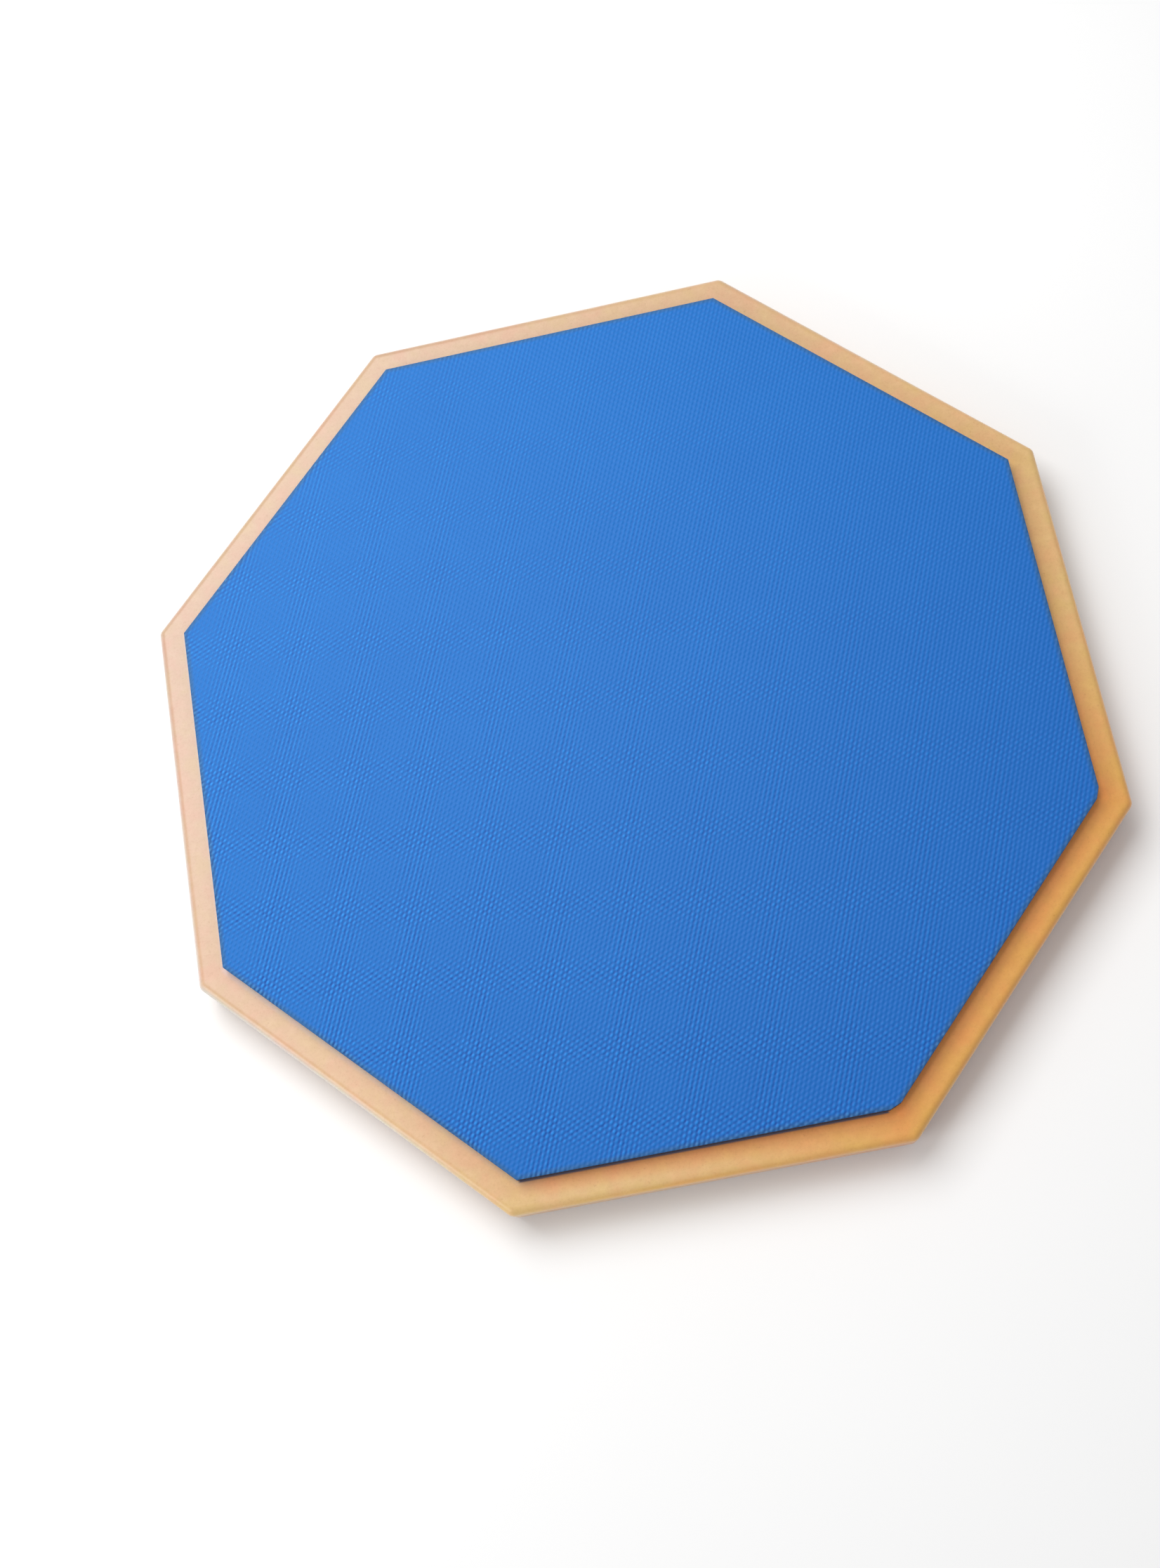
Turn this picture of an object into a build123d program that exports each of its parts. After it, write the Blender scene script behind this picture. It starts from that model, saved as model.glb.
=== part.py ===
from build123d import *
import os

# An octagonal drum practice pad. A blue rubber sheet is glued to a fibreboard base, and a thin
# foam sheet glued under the board grips the table. Each sheet lies flat on the one below it.
# Units are millimetres. The origin is the centre of the underside, +Z leaves the playing face,
# and the eight flats are square to X, Y and the two diagonals between them.

SIDES = 8

# Base board: a 12 inch octagon cut from 15 mm medium-density fibreboard.
BOARD_ACROSS_FLATS = 300.0
BOARD_THICKNESS = 15.0
BOARD_EDGE_ROUNDOVER = 2.5  # along the top and bottom edges, all the way round
BOARD_CORNER_RADIUS = 3.0  # the eight upright corners, softened by sanding

# Playing surface: an even strip of bare board shows all round it.
BOARD_MARGIN = 10.0
RUBBER_THICKNESS = 4.0
RUBBER_TIP_CUT = 0.8  # depth that the knife took off each blunt corner, from its point inwards
BLUNT_CORNER_ANGLES = (-22.5, -67.5)  # degrees about Z, from +X

# Non-slip backing: set in from the board's rounded lower edge.
BACKING_MARGIN = 5.0
BACKING_THICKNESS = 2.0

# Contact adhesive: a rolled film that stops short of the sheet's edge.
ADHESIVE_THICKNESS = 0.2
ADHESIVE_SETBACK = 2.0

# The stack, from the table upwards.
BACKING_Z = 0.0
BACKING_ADHESIVE_Z = BACKING_Z + BACKING_THICKNESS
BOARD_Z = BACKING_ADHESIVE_Z + ADHESIVE_THICKNESS
SURFACE_ADHESIVE_Z = BOARD_Z + BOARD_THICKNESS
RUBBER_Z = SURFACE_ADHESIVE_Z + ADHESIVE_THICKNESS

RUBBER_ACROSS_FLATS = BOARD_ACROSS_FLATS - 2 * BOARD_MARGIN
BACKING_ACROSS_FLATS = BOARD_ACROSS_FLATS - 2 * BACKING_MARGIN


def octagon_sheet(across_flats, thickness, bottom_z):
    """A flat octagonal sheet with one flat facing each of +X, +Y, -X and -Y."""
    outline = RegularPolygon(across_flats / 2, SIDES, major_radius=False, rotation=180 / SIDES)
    return Pos(0, 0, bottom_z) * extrude(outline, thickness)


def adhesive_film(sheet_across_flats, bottom_z):
    """The glue under or over a sheet, rolled to just short of that sheet's edge."""
    return octagon_sheet(sheet_across_flats - 2 * ADHESIVE_SETBACK, ADHESIVE_THICKNESS, bottom_z)


def base_board():
    """The fibreboard: upright corners eased first, then the top and bottom edges rounded over."""
    board = octagon_sheet(BOARD_ACROSS_FLATS, BOARD_THICKNESS, BOARD_Z)
    board = fillet(board.edges().filter_by(Axis.Z), BOARD_CORNER_RADIUS)
    top_and_bottom = board.faces().filter_by(Axis.Z).edges()
    return fillet(top_and_bottom, BOARD_EDGE_ROUNDOVER)


def corner_cutter(angle):
    """A block whose inner face squares off the point of the rubber sheet at one corner."""
    point = RegularPolygon(RUBBER_ACROSS_FLATS / 2, SIDES, major_radius=False).radius
    block_size = 20.0
    cut_distance = point - RUBBER_TIP_CUT
    block = Box(block_size, block_size, block_size, align=(Align.MIN, Align.CENTER, Align.CENTER))
    return Rot(0, 0, angle) * Pos(cut_distance, 0, RUBBER_Z) * block


def playing_surface():
    """The rubber sheet, with the corners that were cut a little blunt."""
    sheet = octagon_sheet(RUBBER_ACROSS_FLATS, RUBBER_THICKNESS, RUBBER_Z)
    for angle in BLUNT_CORNER_ANGLES:
        sheet -= corner_cutter(angle)
    return sheet


def nonslip_backing():
    """The foam sheet that the pad stands on."""
    return octagon_sheet(BACKING_ACROSS_FLATS, BACKING_THICKNESS, BACKING_Z)


def write_parts():
    """Write one STEP file per physical piece."""
    pieces = {
        "nonslip_backing": nonslip_backing(),
        "backing_adhesive": adhesive_film(BACKING_ACROSS_FLATS, BACKING_ADHESIVE_Z),
        "base_board": base_board(),
        "surface_adhesive": adhesive_film(RUBBER_ACROSS_FLATS, SURFACE_ADHESIVE_Z),
        "playing_surface": playing_surface(),
    }
    os.makedirs("parts", exist_ok=True)
    for name, solid in pieces.items():
        export_step(solid, f"parts/{name}.step")


write_parts()
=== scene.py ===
"""Looks for the octagonal practice pad: meshes, materials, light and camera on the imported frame.

Lengths are in metres in the part's own frame, with +Z out of the playing face and -Y towards the
camera; MM turns the small ones into readable numbers. Each piece is built where the frame's boxes
say that it lies. Colours are in linear light, and a tint multiplies the colour that it is put on.
"""

import math

import bmesh
import bpy
from mathutils import Matrix, Vector, noise


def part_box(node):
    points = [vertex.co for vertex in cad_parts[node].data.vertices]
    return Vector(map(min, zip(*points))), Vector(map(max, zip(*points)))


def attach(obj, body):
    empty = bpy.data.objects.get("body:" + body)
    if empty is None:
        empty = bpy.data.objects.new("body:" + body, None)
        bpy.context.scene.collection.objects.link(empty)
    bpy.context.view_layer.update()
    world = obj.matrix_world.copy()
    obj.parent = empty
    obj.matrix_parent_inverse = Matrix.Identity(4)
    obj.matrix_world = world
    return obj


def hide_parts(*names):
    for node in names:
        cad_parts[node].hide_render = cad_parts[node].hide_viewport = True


MM = 0.001
SIDES = 8
SIDE_TURN = 2 * math.pi / SIDES
HALF_TURN = SIDE_TURN / 2

# Mesh steps round each corner and along each side of an octagonal outline.
CORNER_STEPS = 8
SIDE_STEPS = 32
FILM_SIDE_STEPS = 64

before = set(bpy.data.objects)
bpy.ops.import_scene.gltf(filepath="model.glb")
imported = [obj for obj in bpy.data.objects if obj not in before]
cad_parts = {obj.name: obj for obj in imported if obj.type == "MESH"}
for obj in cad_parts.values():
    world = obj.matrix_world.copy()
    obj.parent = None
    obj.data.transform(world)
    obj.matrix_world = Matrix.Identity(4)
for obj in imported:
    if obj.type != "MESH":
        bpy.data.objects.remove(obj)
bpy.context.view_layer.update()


# ---------------------------------------------------------------- outlines and meshes


def node_half_width(name):
    """Half the distance across the flats of an octagonal CAD node."""
    low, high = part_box(name)
    return (high.x - low.x) / 2


def direction(angle):
    """A unit vector in the plane of the sheets, at an angle in radians from +X."""
    return Vector((math.cos(angle), math.sin(angle)))


def octagon_ring(half_width, corner_radius, inset, z, side_steps=SIDE_STEPS):
    """Points round an octagon with rounded corners, moved inwards by inset, at one height.

    Rings made with the same steps match point for point, so they can be joined into bands.
    """
    points = []
    centre_distance = (half_width - corner_radius) / math.cos(HALF_TURN)
    radius = corner_radius - inset
    for side in range(SIDES):
        corner = HALF_TURN + side * SIDE_TURN
        centre = direction(corner) * centre_distance
        arc = []
        for step in range(CORNER_STEPS + 1):
            angle = corner - HALF_TURN + SIDE_TURN * step / CORNER_STEPS
            arc.append(centre + direction(angle) * radius)
        next_centre = direction(corner + SIDE_TURN) * centre_distance
        offset = direction(corner + HALF_TURN) * radius
        straight = [
            (centre + offset).lerp(next_centre + offset, step / side_steps)
            for step in range(1, side_steps)
        ]
        points.extend(Vector((p.x, p.y, z)) for p in arc + straight)
    return points


def stacked_mesh(name, rings):
    """A closed mesh from a stack of matching rings, lowest first, with its ends capped."""
    mesh = bpy.data.meshes.new(name)
    count = len(rings[0])
    vertices = [tuple(p) for ring in rings for p in ring]
    faces = []
    for level in range(len(rings) - 1):
        for i in range(count):
            j = (i + 1) % count
            low, high = level * count, (level + 1) * count
            faces.append((low + i, low + j, high + j, high + i))
    last = (len(rings) - 1) * count
    faces.append(tuple(reversed(range(count))))
    faces.append(tuple(last + i for i in range(count)))
    mesh.from_pydata(vertices, [], faces)
    mesh.update()
    return mesh


def add_object(name, mesh, material, smooth=True):
    """Put a mesh in the scene with one material."""
    made = bpy.data.objects.new(name, mesh)
    bpy.context.scene.collection.objects.link(made)
    mesh.materials.append(material)
    for polygon in mesh.polygons:
        polygon.use_smooth = smooth
    return made


# ---------------------------------------------------------------- node helpers


def new_material(name):
    """An empty node material with a Principled shader; returns it, its tree and the shader."""
    material = bpy.data.materials.new(name)
    material.use_nodes = True
    tree = material.node_tree
    tree.nodes.clear()
    output = tree.nodes.new("ShaderNodeOutputMaterial")
    shader = tree.nodes.new("ShaderNodeBsdfPrincipled")
    tree.links.new(shader.outputs["BSDF"], output.inputs["Surface"])
    return material, tree, shader


def add_node(tree, kind, inputs=None, **settings):
    """A node with its settings, and its inputs either linked from sockets or set to values."""
    made = tree.nodes.new(kind)
    for key, value in settings.items():
        setattr(made, key, value)
    for key, value in (inputs or {}).items():
        if isinstance(value, bpy.types.NodeSocket):
            tree.links.new(value, made.inputs[key])
        else:
            made.inputs[key].default_value = value
    return made


def math_node(tree, operation, a, b=0.0):
    """The result of one arithmetic operation on sockets or numbers."""
    return add_node(tree, "ShaderNodeMath", {0: a, 1: b}, operation=operation).outputs[0]


def masked(tree, value, *masks):
    """The value, multiplied by each mask."""
    for mask in masks:
        value = math_node(tree, "MULTIPLY", value, mask)
    return value


def remap(tree, value, from_low, from_high, to_low, to_high):
    """The value carried from one range to the other, and held at the range's ends."""
    inputs = {
        "Value": value,
        "From Min": from_low,
        "From Max": from_high,
        "To Min": to_low,
        "To Max": to_high,
    }
    return add_node(tree, "ShaderNodeMapRange", inputs).outputs["Result"]


def noise_value(tree, place, size, detail=3.0, roughness=0.55):
    """Noise from 0 to 1 whose blotches are about size metres across."""
    inputs = {"Vector": place, "Scale": 1 / size, "Detail": detail, "Roughness": roughness}
    return add_node(tree, "ShaderNodeTexNoise", inputs).outputs["Fac"]


def mix_colour(tree, factor, a, b, blend_type="MIX"):
    """Colour a blended towards b by the factor. Colours are sockets or (r, g, b) in linear light."""
    made = add_node(tree, "ShaderNodeMix", data_type="RGBA", blend_type=blend_type)
    for socket, value in ((made.inputs[0], factor), (made.inputs[6], a), (made.inputs[7], b)):
        if isinstance(value, bpy.types.NodeSocket):
            tree.links.new(value, socket)
        elif isinstance(value, tuple):
            socket.default_value = (*value, 1.0)
        else:
            socket.default_value = value
    return made.outputs[2]


def colour_ramp(tree, factor, stops):
    """Colours from (position, colour) stops, joined by straight blends.

    A ramp cannot hold a value above 1, so it holds them scaled and they are scaled back after it.
    """
    made = add_node(tree, "ShaderNodeValToRGB", {"Fac": factor})
    ramp = made.color_ramp
    brightest = max(max(colour) for _, colour in stops)
    while len(ramp.elements) < len(stops):
        ramp.elements.new(0.5)
    for element, (position, colour) in zip(ramp.elements, stops):
        element.position = position
        element.color = (*(value / brightest for value in colour), 1.0)
    return tint(tree, 1.0, made.outputs["Color"], (brightest, brightest, brightest))


def tint(tree, factor, colour, multiplier):
    """The colour, multiplied where the factor is 1."""
    return mix_colour(tree, factor, colour, multiplier, "MULTIPLY")


def cosine(tree, place, waves, start=0.0):
    """A cosine wave across the sheet, from -1 to 1, with its wave vector in cycles per metre."""
    inputs = {0: place, 1: (waves.x, waves.y, 0.0)}
    along = add_node(tree, "ShaderNodeVectorMath", inputs, operation="DOT_PRODUCT")
    turns = math_node(tree, "ADD", along.outputs["Value"], start)
    return math_node(tree, "COSINE", math_node(tree, "MULTIPLY", turns, 2 * math.pi))


def object_place(tree):
    """A point's place in the part's frame."""
    return add_node(tree, "ShaderNodeTexCoord").outputs["Object"]


def coordinates(tree, place):
    """The x, y and z of a place."""
    return tuple(add_node(tree, "ShaderNodeSeparateXYZ", {0: place}).outputs)


def from_centre(tree, x, y):
    """Octagonal distance from the middle, equal to half the width on every side."""
    diagonal = math.sqrt(0.5)
    across = math_node(tree, "MULTIPLY", math_node(tree, "ADD", x, y), diagonal)
    along = math_node(tree, "MULTIPLY", math_node(tree, "SUBTRACT", x, y), diagonal)
    sizes = [math_node(tree, "ABSOLUTE", value) for value in (x, y, across, along)]
    straight = math_node(tree, "MAXIMUM", sizes[0], sizes[1])
    return math_node(tree, "MAXIMUM", straight, math_node(tree, "MAXIMUM", sizes[2], sizes[3]))


def add_bump(tree, shader, height, distance, strength):
    """Drive the shader's normal from a height; distance is the relief for a height of 1."""
    inputs = {"Height": height, "Distance": distance, "Strength": strength}
    bump = add_node(tree, "ShaderNodeBump", inputs)
    tree.links.new(bump.outputs["Normal"], shader.inputs["Normal"])


# ---------------------------------------------------------------- the embossed weave

# The mould left a fine cloth pattern: low grains on a slanting grid, one grid step along each of
# these two vectors, where three sets of parallel ridges cross.
WEAVE_A = direction(math.radians(135.3)) * 1.505 * MM
WEAVE_B = direction(math.radians(21.9)) * 1.965 * MM


def reciprocal(a, b):
    """The wave vectors, in cycles per metre, whose crests repeat along a and b."""
    area = a.x * b.y - a.y * b.x
    return Vector((b.y, -b.x)) / area, Vector((-a.y, a.x)) / area


def plane_wave(pitch, degrees):
    """The wave vector, in cycles per metre, of waves a pitch apart that run at an angle."""
    return direction(math.radians(degrees)) / pitch


WAVE_A, WAVE_B = reciprocal(WEAVE_A, WEAVE_B)

# The ridges' painted shading comes and goes in soft bands, so that the grains stand out in patches.
# Each set of bands: its wave vector, and where in their cycle the bands are at the middle, in turns.
UPRIGHT_BANDS = (plane_wave(22.7 * MM, -12.5), -0.203)
LEVEL_BANDS = (plane_wave(22.8 * MM, 80.4), -0.215)
BAND_LEAST = 0.05

# Each set of ridges: its wave vector, its depth, how strongly its painted shading shows, and its
# bands.
RIDGES = (
    (WAVE_A - WAVE_B, 0.036 * MM, 0.54, UPRIGHT_BANDS),
    (WAVE_A, 0.028 * MM, 0.44, LEVEL_BANDS),
    (WAVE_B, 0.015 * MM, 0.24, LEVEL_BANDS),
)
WEAVE_PEAK = sum(depth for _, depth, _, _ in RIDGES)


def weave_height(x, y):
    """Height of the emboss above its mean level, in metres."""
    return sum(
        depth * math.cos(2 * math.pi * (ridge.x * x + ridge.y * y)) for ridge, depth, _, _ in RIDGES
    )


def weave_nodes(tree, place):
    """The same height in millimetres as a shader node, and the strength of its painted shading."""
    height = 0.0
    colour = 0.0
    for ridge, depth, weight, (band, start) in RIDGES:
        swing = cosine(tree, place, ridge)
        height = math_node(tree, "ADD", math_node(tree, "MULTIPLY", swing, depth / MM), height)
        patches = remap(tree, cosine(tree, place, band, start), -1.0, 1.0, BAND_LEAST, 1.0)
        seen = math_node(tree, "MULTIPLY", swing, math_node(tree, "MULTIPLY", patches, weight))
        colour = math_node(tree, "ADD", seen, colour)
    return height, colour


# ---------------------------------------------------------------- the rubber's material

# The blue drifts from the lit one to the shaded one between the back left and the front right:
# painted light falling off.
LIT_AND_SHADED_RUBBER_BLUES = ((0.0102, 0.158, 0.520), (0.0074, 0.126, 0.460))
CLOUD_TINT = (0.96, 0.97, 0.98)
STREAK_TINT = (1.06, 1.03, 1.02)
# Painted shade in the emboss's hollows and a painted highlight on its crests.
PAINTED_HOLLOW_SHADE = (0.00, 0.37, 0.60)
PAINTED_CREST_HIGHLIGHT = (2.25, 1.64, 1.41)
# Greys and darkens the blue towards the face's edge.
FACE_EDGE_GREYING_TINT = (2.80, 0.86, 0.64)
# Painted shade: the cut side is coloured near black, as it lies in shade.
PAINTED_SHADE_CUT_BLUES = ((0.004, 0.010, 0.030), (0.014, 0.034, 0.084))


def painted_weave_shading(tree, place, x, y, weave):
    """The tint of the emboss: painted shade in the hollows and a painted highlight on the crests,
    clearest at the front left.
    """
    clearness = remap(tree, math_node(tree, "ADD", x, y), -200 * MM, 200 * MM, 1.05, 0.15)
    uneven = remap(tree, noise_value(tree, place, 1.6 * MM, 2.0), 0.3, 0.7, 0.45, 1.55)
    crest = remap(tree, masked(tree, weave, clearness, uneven), -1.0, 1.0, 0.0, 1.0)
    return mix_colour(tree, crest, PAINTED_HOLLOW_SHADE, PAINTED_CREST_HIGHLIGHT)


def rubber_colour(tree, place, weave):
    """Cloudy blue with painted light falling off across it and the emboss's painted shading on it,
    dulled along the face's edge, and painted dark on the cut side as its shade.
    """
    x, y, z = coordinates(tree, place)
    # painted light fall-off: paler blue at the back left, darker at the front right
    painted_falloff = remap(tree, math_node(tree, "SUBTRACT", x, y), -190 * MM, 190 * MM, 0.0, 1.0)
    clouds = noise_value(tree, place, 45 * MM, 4.0)
    streaks = noise_value(tree, place, 9 * MM, 5.0)
    base = mix_colour(tree, painted_falloff, *LIT_AND_SHADED_RUBBER_BLUES)
    base = tint(tree, remap(tree, clouds, 0.35, 0.7, 0.0, 1.0), base, CLOUD_TINT)
    base = tint(tree, remap(tree, streaks, 0.4, 0.75, 0.0, 1.0), base, STREAK_TINT)
    # painted shading of the emboss: dark hollows, pale crests
    base = tint(tree, 1.0, base, painted_weave_shading(tree, place, x, y, weave))

    # greyer and darker towards the face's edge
    edge = node_half_width("playing_surface")
    face_edge_greying = remap(tree, from_centre(tree, x, y), edge - 1.9 * MM, edge - 0.5 * MM, 0.0, 1.0)
    base = tint(tree, face_edge_greying, base, FACE_EDGE_GREYING_TINT)
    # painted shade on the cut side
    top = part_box("playing_surface")[1].z
    cut_side_shade = remap(tree, z, top - 0.22 * MM, top - 0.40 * MM, 0.0, 1.0)
    return mix_colour(tree, cut_side_shade, base, mix_colour(tree, streaks, *PAINTED_SHADE_CUT_BLUES))


def rubber_material():
    """Blue moulded rubber: matt, with a fine grain between the grains of the emboss."""
    material, tree, shader = new_material("blue_rubber")
    place = object_place(tree)
    relief, weave = weave_nodes(tree, place)
    tree.links.new(rubber_colour(tree, place, weave), shader.inputs["Base Color"])

    grain = noise_value(tree, place, 0.35 * MM, 3.0)
    tree.links.new(remap(tree, grain, 0.3, 0.7, 0.44, 0.58), shader.inputs["Roughness"])
    shader.inputs["Specular IOR Level"].default_value = 0.22
    height = math_node(tree, "ADD", relief, math_node(tree, "MULTIPLY", grain, 0.03))
    add_bump(tree, shader, height, MM, 1.0)
    return material


# ---------------------------------------------------------------- the fibreboard's material

# The tone runs from 0 at the back left corner, which is pale, to 1 at the front right corner, which
# is amber; it is partly the lacquer's own tone and partly painted sheen and light falling off from
# the back left. These are its colour, and its tint over the rounded edge, by tone.
LACQUER_AND_PAINTED_LIGHT_TONES = (
    (0.0, (0.535, 0.345, 0.218)),
    (0.5, (0.650, 0.400, 0.192)),
    (0.83, (0.650, 0.415, 0.165)),
    (1.0, (0.670, 0.330, 0.075)),
)
# Over the rounded edge: a painted highlight on the pale half, and painted shade with a more saturated
# raw edge on the amber half.
EDGE_TINTS_WITH_PAINTED_LIGHT = (
    (0.0, (1.00, 1.05, 1.12)),
    (0.5, (1.02, 1.13, 1.42)),
    (0.83, (1.12, 0.88, 0.45)),
    (1.0, (1.00, 0.95, 0.90)),
)
UPRIGHT_TINTS = ((0.94, 0.86, 0.74), (1.00, 0.76, 0.48))  # down the side, pale and amber
# Painted shade: darker towards the bottom edge on the amber half.
PAINTED_UNDER_EDGE_SHADE = (0.80, 0.60, 0.40)

# Painted sheen on the front left half, on the face, and a painted highlight over the rounded edge.
PAINTED_SHEEN_TINT = (0.98, 1.00, 1.16)
PAINTED_EDGE_HIGHLIGHT_TINT = (1.03, 1.28, 1.52)

# The fibres under the lacquer.
WARM_BLOTCH_TINT = (1.03, 0.955, 0.99)
YELLOW_BLOTCH_TINT = (0.99, 1.03, 0.94)
PALE_PATCH_TINT = (1.07, 1.10, 1.14)
FIBRE_TINT = (0.88, 0.84, 0.80)
SPECK_TINT = (0.90, 0.87, 0.84)

# Round the foot of the rubber: painted shadow and light, a pale fringe and a painted contact shadow.
# Painted shadow of the rubber on the amber half.
PAINTED_SHADOW_TINT = (0.98, 0.66, 0.48)
# Painted light that lifts that shadow right at the foot.
PAINTED_LIGHT_TINT = (1.36, 1.30, 1.22)
# A paler, bluish fringe beside the rubber on the pale half.
PALE_FRINGE_TINT = (1.00, 1.22, 1.75)
# Warm painted shadow along the front, beside the rubber.
PAINTED_FRONT_SHADOW_TINT = (1.03, 0.72, 0.48)
# Painted contact shadow: a thin dark line at the rubber's front foot.
PAINTED_CONTACT_SHADOW = (0.105, 0.090, 0.135)


def pressed_fibres(tree, base, place, patches, fibres):
    """Soft blotches, pale patches, dark fibres and darker specks."""
    blotches = noise_value(tree, place, 9 * MM, 4.0)
    specks = noise_value(tree, place, 1.1 * MM, 1.0, 0.4)
    base = tint(tree, remap(tree, blotches, 0.50, 0.64, 0.0, 1.0), base, WARM_BLOTCH_TINT)
    base = tint(tree, remap(tree, blotches, 0.50, 0.36, 0.0, 1.0), base, YELLOW_BLOTCH_TINT)
    base = tint(tree, remap(tree, patches, 0.45, 0.75, 0.0, 1.0), base, PALE_PATCH_TINT)
    base = tint(tree, remap(tree, fibres, 0.50, 0.85, 0.0, 1.0), base, FIBRE_TINT)
    return tint(tree, remap(tree, specks, 0.72, 0.80, 0.0, 1.0), base, SPECK_TINT)


def beside_rubber(tree, base, x, y, amber):
    """The marks on the board round the foot of the rubber.

    On the amber half a painted shadow lies there, made paler right at the foot by painted light.
    On the pale half a paler, bluish fringe shows. Along the front lie a warm painted shadow, which
    fades towards the right, and a thin dark line of painted contact shadow.
    """
    outwards = from_centre(tree, x, y)
    edge = node_half_width("playing_surface")
    corner_x = edge * math.tan(HALF_TURN)

    def within(full, none):
        """1 up to one distance outside the rubber and 0 from another on."""
        return remap(tree, outwards, edge + full, edge + none, 1.0, 0.0)

    # painted shadow of the rubber on the amber half
    base = tint(tree, masked(tree, within(0.0, 8 * MM), amber), base, PAINTED_SHADOW_TINT)
    # painted light lifting the shadow near the foot
    base = tint(tree, masked(tree, within(0.9 * MM, 3.2 * MM), amber), base, PAINTED_LIGHT_TINT)
    pale = math_node(tree, "SUBTRACT", 1.0, amber)
    base = tint(tree, masked(tree, within(0.4 * MM, 2.0 * MM), pale), base, PALE_FRINGE_TINT)

    front = remap(tree, y, 0.1 * MM - edge, -edge, 0.0, 1.0)
    # warm painted shadow along the front, fading towards the right
    front_shadow = masked(
        tree,
        within(1.0 * MM, 6.0 * MM),
        front,
        remap(tree, x, 0.0, corner_x, 1.0, 0.0),
        remap(tree, x, -corner_x - 1.0 * MM, -corner_x + 9.0 * MM, 0.0, 1.0),
    )
    base = tint(tree, front_shadow, base, PAINTED_FRONT_SHADOW_TINT)
    # painted contact shadow at the front foot
    contact_shadow = masked(
        tree,
        within(0.35 * MM, 0.85 * MM),
        front,
        remap(tree, x, corner_x - 2.8 * MM, corner_x - 2.0 * MM, 1.0, 0.0),
        remap(tree, x, -corner_x - 0.3 * MM, -corner_x + 0.5 * MM, 0.0, 1.0),
    )
    return mix_colour(tree, contact_shadow, base, PAINTED_CONTACT_SHADOW)


def over_edges(tree, base, z, tone_and_light, amber, painted_sheen):
    """The colour's changes over the rounded upper edge, with painted highlight and shade, down the
    side, and painted shade near the underside.
    """
    bottom, top = (corner.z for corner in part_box("base_board"))
    rim = remap(tree, z, top - 0.1 * MM, top - 1.0 * MM, 0.0, 1.0)
    side = remap(tree, z, top - 2.5 * MM, top - 5.0 * MM, 0.0, 1.0)
    foot_shade = remap(tree, z, bottom + 3.0 * MM, bottom + 0.5 * MM, 0.0, 1.0)
    # painted highlight and shade over the rounded edge, with the painted highlight stronger on the
    # front left half
    rounded = tint(tree, painted_sheen, colour_ramp(tree, tone_and_light, EDGE_TINTS_WITH_PAINTED_LIGHT), PAINTED_EDGE_HIGHLIGHT_TINT)
    upright = mix_colour(tree, amber, *UPRIGHT_TINTS)
    base = tint(tree, rim, base, mix_colour(tree, side, rounded, upright))
    # painted shade near the underside
    return tint(tree, masked(tree, foot_shade, amber), base, PAINTED_UNDER_EDGE_SHADE)


def board_material():
    """Clear-lacquered fibreboard: pressed fibres under a satin coat, pale to amber by its tone, which
    is partly painted sheen and light.
    """
    material, tree, shader = new_material("lacquered_fibreboard")
    place = object_place(tree)
    x, y, z = coordinates(tree, place)
    # partly the lacquer's own tone, partly painted sheen and light falling off from the back left
    tone_and_light = remap(tree, math_node(tree, "SUBTRACT", x, y), -200 * MM, 210 * MM, 0.0, 1.0)
    amber = math_node(tree, "POWER", tone_and_light, 2.5)
    painted_sheen = masked(  # painted sheen on the front left half, and weaker along the front edge itself
        tree,
        remap(tree, math_node(tree, "ADD", x, y), 0.0, -200 * MM, 0.0, 1.0),
        remap(tree, y, -125 * MM, -145 * MM, 1.0, 0.4),
    )
    patches = noise_value(tree, place, 3.5 * MM, 5.0, 0.65)
    fibres = noise_value(tree, place, 0.7 * MM, 3.0, 0.7)

    base = colour_ramp(tree, tone_and_light, LACQUER_AND_PAINTED_LIGHT_TONES)
    base = pressed_fibres(tree, base, place, patches, fibres)
    # painted sheen on the front left half
    base = tint(tree, painted_sheen, base, PAINTED_SHEEN_TINT)
    base = beside_rubber(tree, base, x, y, amber)
    base = over_edges(tree, base, z, tone_and_light, amber, painted_sheen)
    tree.links.new(base, shader.inputs["Base Color"])

    tree.links.new(remap(tree, patches, 0.3, 0.7, 0.30, 0.42), shader.inputs["Roughness"])
    shader.inputs["Specular IOR Level"].default_value = 0.1
    shader.inputs["Coat Weight"].default_value = 1.0
    shader.inputs["Coat Roughness"].default_value = 0.34
    height = math_node(tree, "ADD", math_node(tree, "MULTIPLY", fibres, 0.5), patches)
    add_bump(tree, shader, height, 0.10 * MM, 0.6)
    return material


# ---------------------------------------------------------------- the other materials

GLUE_COLOURS = ((0.30, 0.19, 0.07), (0.46, 0.33, 0.15))
FOAM_COLOURS = ((0.012, 0.012, 0.013), (0.026, 0.026, 0.028))
FOAM_CELL_WALL = (0.045, 0.045, 0.048)
FLOOR_GREYS = ((0.86, 0.86, 0.86), (0.90, 0.90, 0.90))


def glue_material():
    """Dried contact adhesive: amber, glossy and slightly lumpy."""
    material, tree, shader = new_material("contact_adhesive")
    lumps = noise_value(tree, object_place(tree), 2.5 * MM, 4.0)
    base = mix_colour(tree, remap(tree, lumps, 0.3, 0.7, 0.0, 1.0), *GLUE_COLOURS)
    tree.links.new(base, shader.inputs["Base Color"])
    tree.links.new(remap(tree, lumps, 0.3, 0.7, 0.25, 0.45), shader.inputs["Roughness"])
    add_bump(tree, shader, lumps, 0.15 * MM, 0.8)
    return material


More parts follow.
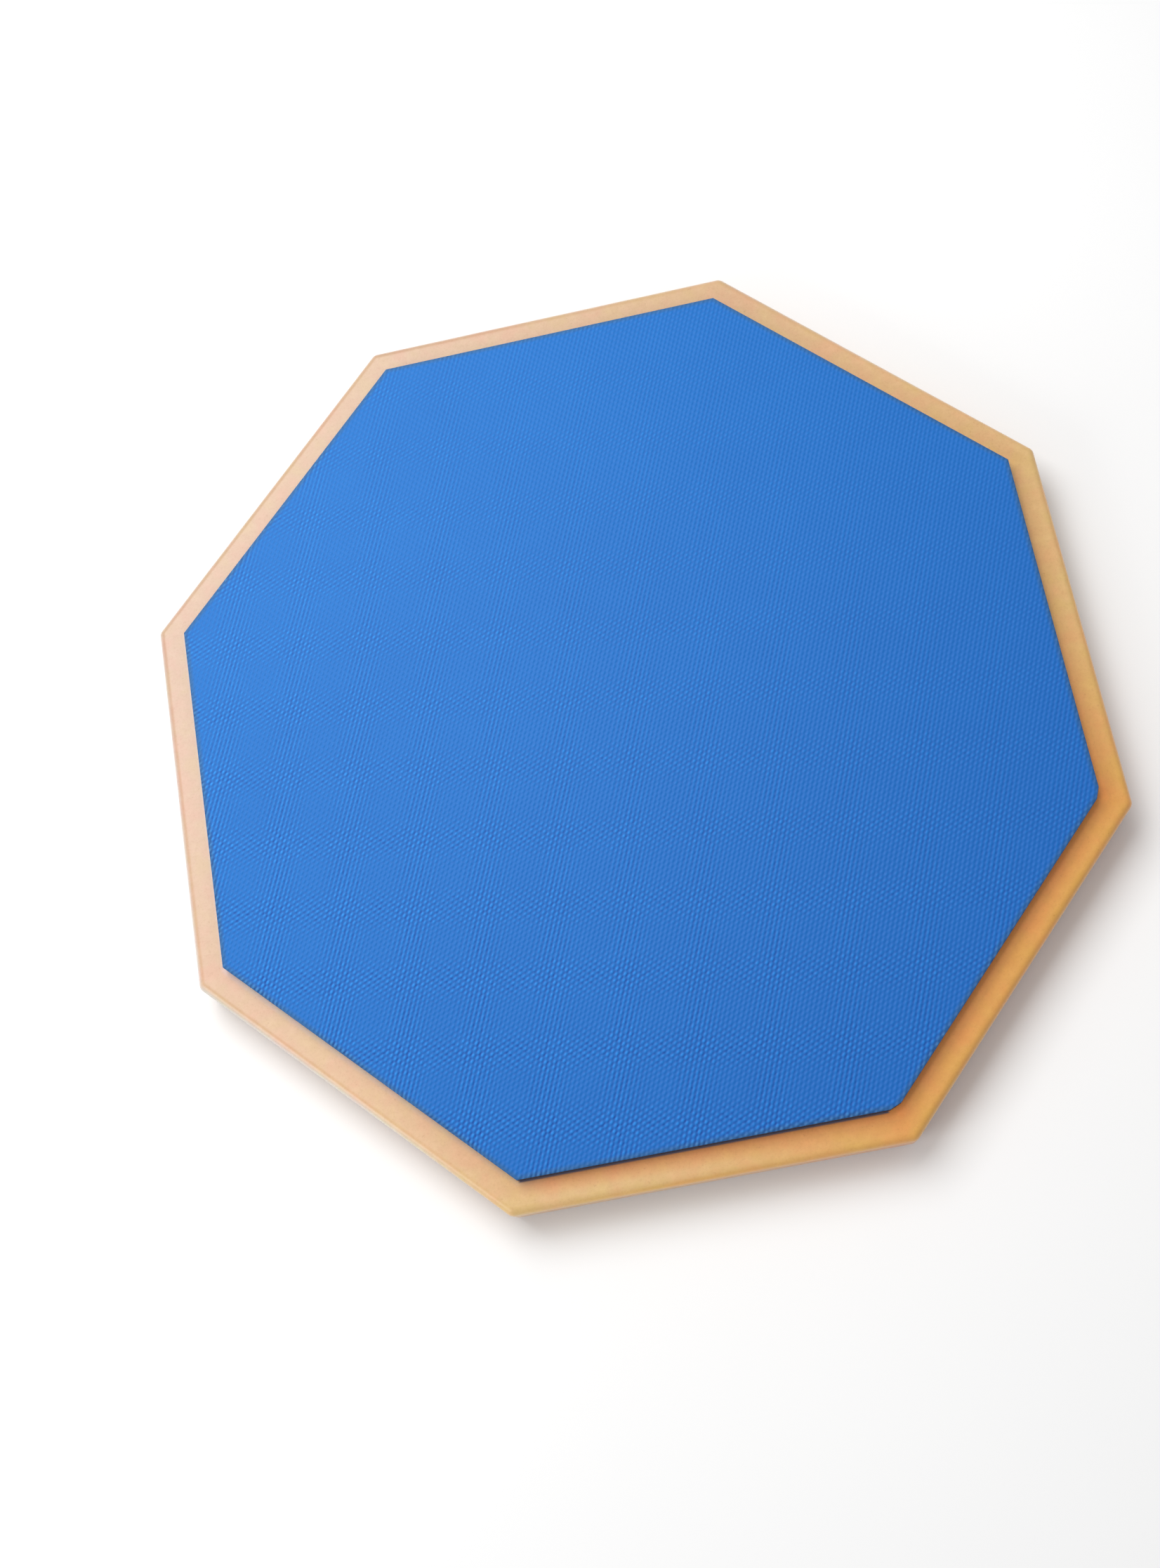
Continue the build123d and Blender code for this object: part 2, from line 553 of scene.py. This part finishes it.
def foam_material():
    """Black closed-cell foam: matt, with fine cut cells and a dusty bloom."""
    material, tree, shader = new_material("black_foam")
    place = object_place(tree)
    voronoi = add_node(tree, "ShaderNodeTexVoronoi", {"Vector": place, "Scale": 1 / (0.55 * MM)})
    cells = voronoi.outputs["Distance"]
    bloom = noise_value(tree, place, 25 * MM, 4.0)
    base = mix_colour(tree, remap(tree, bloom, 0.35, 0.7, 0.0, 1.0), *FOAM_COLOURS)
    base = mix_colour(tree, remap(tree, cells, 0.0, 0.6, 0.0, 0.5), base, FOAM_CELL_WALL)
    tree.links.new(base, shader.inputs["Base Color"])
    tree.links.new(remap(tree, bloom, 0.3, 0.7, 0.78, 0.92), shader.inputs["Roughness"])
    add_bump(tree, shader, cells, 0.15 * MM, 0.8)
    return material


def floor_material():
    """A plain pale floor, very slightly mottled."""
    material, tree, shader = new_material("pale_floor")
    mottle = noise_value(tree, object_place(tree), 400 * MM, 3.0)
    tree.links.new(mix_colour(tree, mottle, *FLOOR_GREYS), shader.inputs["Base Color"])
    shader.inputs["Roughness"].default_value = 0.8
    shader.inputs["Specular IOR Level"].default_value = 0.2
    return material


# ---------------------------------------------------------------- the rubber sheet

RUBBER_EDGE_ROUND = 0.25 * MM
EDGE_ROUND_STEPS = 2
BLUNT_CORNERS = (-22.5, -67.5)  # directions of the two corners that are cut off flat, in degrees
BLUNT_DEPTH = 0.8 * MM
RIM_SPACING = 0.6 * MM  # cut points along the rim that lie closer than this are merged
ON_PLANE = 0.01 * MM  # a point this near a cutting plane lies on it
GRID_OVERHANG = 2 * MM
SLANT_MARGIN = 1.15  # a slanting grid needs this many times the steps to reach as far


def rubber_outline(face_half):
    """The planes that cut the sheet out: outward direction and distance from the middle."""
    planes = [(direction(side * SIDE_TURN).to_3d(), face_half) for side in range(SIDES)]
    blunt_distance = face_half / math.cos(HALF_TURN) - BLUNT_DEPTH
    for degrees in BLUNT_CORNERS:
        planes.append((direction(math.radians(degrees)).to_3d(), blunt_distance))
    return planes


def weave_grid(planes, z):
    """A flat mesh on the half steps of the weave, a little larger than the outline."""
    step_a, step_b = WEAVE_A / 2, WEAVE_B / 2
    reach = node_half_width("playing_surface") / math.cos(HALF_TURN) + GRID_OVERHANG
    count_a = int(reach * SLANT_MARGIN / step_a.length) + 1
    count_b = int(reach * SLANT_MARGIN / step_b.length) + 1
    index = {}
    vertices = []
    for i in range(-count_a, count_a + 1):
        for j in range(-count_b, count_b + 1):
            point = step_a * i + step_b * j
            if all(point.x * n.x + point.y * n.y < d + GRID_OVERHANG for n, d in planes):
                index[i, j] = len(vertices)
                vertices.append((point.x, point.y, z))
    faces = []
    for (i, j), here in index.items():
        right, up, across = index.get((i + 1, j)), index.get((i, j + 1)), index.get((i + 1, j + 1))
        if None not in (right, up, across):
            faces.append((here, across, right))
            faces.append((here, up, across))
    mesh = bpy.data.meshes.new("rubber_sheet")
    mesh.from_pydata(vertices, [], faces)
    return mesh


def planes_met(point, planes):
    """Which of the cutting planes a point lies on: two of them at a corner of the sheet."""
    return [
        number
        for number, (normal, distance) in enumerate(planes)
        if abs(point.dot(normal) - distance) < ON_PLANE
    ]


def cut_to_outline(bm, planes):
    """Cut the grid along each plane, and thin out the points that crowd along the cuts."""
    for normal, distance in planes:
        bmesh.ops.bisect_plane(
            bm,
            geom=bm.verts[:] + bm.edges[:] + bm.faces[:],
            plane_co=normal * distance,
            plane_no=normal,
            clear_outer=True,
            dist=1e-6,
        )
    bmesh.ops.recalc_face_normals(bm, faces=bm.faces[:])
    if sum(face.normal.z for face in bm.faces) < 0:
        bmesh.ops.reverse_faces(bm, faces=bm.faces[:])
    loose = [v for v in bm.verts if not v.link_faces]
    bmesh.ops.delete(bm, geom=loose, context="VERTS")
    for number in range(len(planes)):
        crowded = [v for v in bm.verts if v.is_boundary and planes_met(v.co, planes) == [number]]
        bmesh.ops.remove_doubles(bm, verts=crowded, dist=RIM_SPACING)


def close_sheet(bm, face_half, face_height, bottom):
    """Round the sheet's upper edge a little, drop its side to the bottom and cap it there."""
    reached = face_half
    rim = [edge for edge in bm.edges if edge.is_boundary]
    for step in range(1, EDGE_ROUND_STEPS + 2):
        turn = math.pi / 2 * min(step / EDGE_ROUND_STEPS, 1.0)
        spread = face_half + RUBBER_EDGE_ROUND * math.sin(turn)
        drop = RUBBER_EDGE_ROUND * (1 - math.cos(turn))
        made = bmesh.ops.extrude_edge_only(bm, edges=rim)["geom"]
        for v in (part for part in made if isinstance(part, bmesh.types.BMVert)):
            v.co.x *= spread / reached
            v.co.y *= spread / reached
            v.co.z = face_height - drop if step <= EDGE_ROUND_STEPS else bottom
        reached = spread
        rim = [part for part in made if isinstance(part, bmesh.types.BMEdge) and part.is_boundary]
    bmesh.ops.contextual_create(bm, geom=rim)
    bmesh.ops.recalc_face_normals(bm, faces=bm.faces[:])


def build_rubber(material):
    """The rubber sheet with its emboss as real relief, cut square at the edges."""
    low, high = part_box("playing_surface")
    face_half = node_half_width("playing_surface") - RUBBER_EDGE_ROUND
    planes = rubber_outline(face_half)
    mesh = weave_grid(planes, high.z)
    bm = bmesh.new()
    bm.from_mesh(mesh)
    cut_to_outline(bm, planes)
    mean_height = high.z - WEAVE_PEAK
    for v in bm.verts:
        v.co.z = mean_height + weave_height(v.co.x, v.co.y)
    close_sheet(bm, face_half, mean_height, low.z)
    bm.to_mesh(mesh)
    bm.free()
    return add_object("rubber_sheet", mesh, material)


# ---------------------------------------------------------------- the board, glue and backing

BOARD_CORNER_RADIUS = 3.0 * MM
BOARD_ROUNDOVER = 2.5 * MM
BOARD_ROUND_STEPS = 8
FLAT_MARGIN = 0.4 * MM  # a last ring on the flat keeps the shading of the round off the faces
SANDING_DEPTH = 0.12 * MM
SANDED_ALONG, SANDED_UP = 45, 60  # how fast the unevenness changes along and up the edge, per metre
FILM_CORNER_RADIUS = 3.0 * MM
FILM_WANDER = 0.9 * MM
WANDER_RATE = 120  # per metre
WANDER_SEED = 3.7
FOAM_CORNER_RADIUS = 1.5 * MM
FOAM_EDGE_ROUND = 0.4 * MM


def build_board(material):
    """The fibreboard with rounded edges that a sanding block left slightly uneven."""
    low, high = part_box("base_board")
    half = node_half_width("base_board")
    flat_inset = BOARD_ROUNDOVER + FLAT_MARGIN
    angles = [math.pi / 2 * step / BOARD_ROUND_STEPS for step in range(BOARD_ROUND_STEPS + 1)]

    profile = [(flat_inset, low.z)]
    for angle in angles:
        inset = BOARD_ROUNDOVER * (1 - math.sin(angle))
        profile.append((inset, low.z + BOARD_ROUNDOVER * (1 - math.cos(angle))))
    for angle in angles:
        inset = BOARD_ROUNDOVER * (1 - math.cos(angle))
        profile.append((inset, high.z - BOARD_ROUNDOVER * (1 - math.sin(angle))))
    profile.append((flat_inset, high.z))

    rings = [octagon_ring(half, BOARD_CORNER_RADIUS, inset, z) for inset, z in profile]
    for ring, (inset, z) in zip(rings, profile):
        on_round = math.sin(math.pi * min(inset / BOARD_ROUNDOVER, 1.0))
        for p in ring:
            uneven = abs(noise.noise(Vector((p.x * SANDED_ALONG, p.y * SANDED_ALONG, z * SANDED_UP))))
            p -= Vector((p.x, p.y, 0)).normalized() * (SANDING_DEPTH * on_round * uneven)
    return add_object("fibreboard", stacked_mesh("fibreboard", rings), material)


def build_film(name, node, material):
    """A rolled glue film whose edge wanders a little."""
    low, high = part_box(node)
    half = node_half_width(node)
    rings = []
    for z in (low.z, high.z):
        ring = octagon_ring(half, FILM_CORNER_RADIUS, 0.0, z, FILM_SIDE_STEPS)
        for p in ring:
            wander = abs(noise.noise(Vector((p.x * WANDER_RATE, p.y * WANDER_RATE, WANDER_SEED))))
            p -= Vector((p.x, p.y, 0)).normalized() * (FILM_WANDER * wander)
        rings.append(ring)
    return add_object(name, stacked_mesh(name, rings), material, smooth=False)


def build_backing(material):
    """The die-cut foam sheet, its edges pressed slightly round by the die."""
    low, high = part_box("nonslip_backing")
    half = node_half_width("nonslip_backing")
    edge = FOAM_EDGE_ROUND
    profile = [
        (edge * 1.5, low.z),
        (edge * 0.6, low.z),
        (edge * 0.15, low.z + edge * 0.4),
        (0.0, low.z + edge),
        (0.0, high.z - edge * 0.3),
        (edge * 0.3, high.z),
    ]
    rings = [octagon_ring(half, FOAM_CORNER_RADIUS, inset, z) for inset, z in profile]
    return add_object("foam_backing", stacked_mesh("foam_backing", rings), material)


# ---------------------------------------------------------------- light, floor and camera

FLOOR_REACH = 6.0  # from the middle to each side
SURROUND_STRENGTH = 0.52


def area_light(name, azimuth, elevation, distance, size, power):
    """A square soft light aimed at the pad. Azimuth is in degrees about Z from +X."""
    turn, tilt = math.radians(azimuth), math.radians(elevation)
    level = math.cos(tilt)
    place = Vector((math.cos(turn) * level, math.sin(turn) * level, math.sin(tilt))) * distance
    data = bpy.data.lights.new(name, "AREA")
    data.shape = "SQUARE"
    data.size = size
    data.energy = power
    lamp = bpy.data.objects.new(name, data)
    lamp.visible_camera = False
    lamp.location = place
    lamp.rotation_euler = (-place).to_track_quat("-Z", "Y").to_euler()
    bpy.context.scene.collection.objects.link(lamp)


def build_stage():
    """A pale floor, an even pale surround, a soft window at the back left and a weak fill."""
    ends = (-FLOOR_REACH, FLOOR_REACH)
    corners = [(x, y, 0) for x in ends for y in ends]
    mesh = bpy.data.meshes.new("floor")
    mesh.from_pydata(corners, [], [(0, 2, 3, 1)])
    floor = add_object("floor", mesh, floor_material(), smooth=False)

    world = bpy.data.worlds.new("studio")
    world.use_nodes = True
    background = world.node_tree.nodes["Background"]
    background.inputs["Color"].default_value = (1.0, 1.0, 1.0, 1.0)
    background.inputs["Strength"].default_value = SURROUND_STRENGTH
    bpy.context.scene.world = world

    area_light("window", azimuth=125, elevation=61, distance=0.95, size=0.68, power=7.2)
    area_light("left_fill", azimuth=208, elevation=27, distance=1.1, size=0.5, power=2.9)
    bpy.context.scene.view_settings.view_transform = "Standard"


def build_camera():
    """The camera stands over the near edge of the pad, rolled, and looks down at it."""
    place = Vector((14.7, -178.0, 540.8)) * MM
    target = Vector((-17.5, -21.9, 21.4)) * MM
    roll = math.radians(-22.6)
    data = bpy.data.cameras.new("camera")
    data.lens = 39.04
    data.sensor_width = 36.0
    data.clip_start = 0.01
    camera = bpy.data.objects.new("camera", data)
    look = (target - place).to_track_quat("-Z", "Y").to_matrix().to_4x4()
    camera.matrix_world = Matrix.Translation(place) @ look @ Matrix.Rotation(roll, 4, "Z")
    bpy.context.scene.collection.objects.link(camera)
    bpy.context.scene.camera = camera


# ---------------------------------------------------------------- assembly

glue = glue_material()
rubber = build_rubber(rubber_material())
board = build_board(board_material())
upper_film = build_film("upper_glue_film", "surface_adhesive", glue)
lower_film = build_film("lower_glue_film", "backing_adhesive", glue)
backing = build_backing(foam_material())

for piece, cad_node, slot_name in (
    (rubber, "playing_surface", "playing_rubber"),
    (board, "base_board", "fibreboard"),
    (upper_film, "surface_adhesive", "contact_adhesive"),
    (lower_film, "backing_adhesive", "contact_adhesive"),
    (backing, "nonslip_backing", "backing_foam"),
):
    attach(piece, "root")
    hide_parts(cad_node)

build_stage()
build_camera()
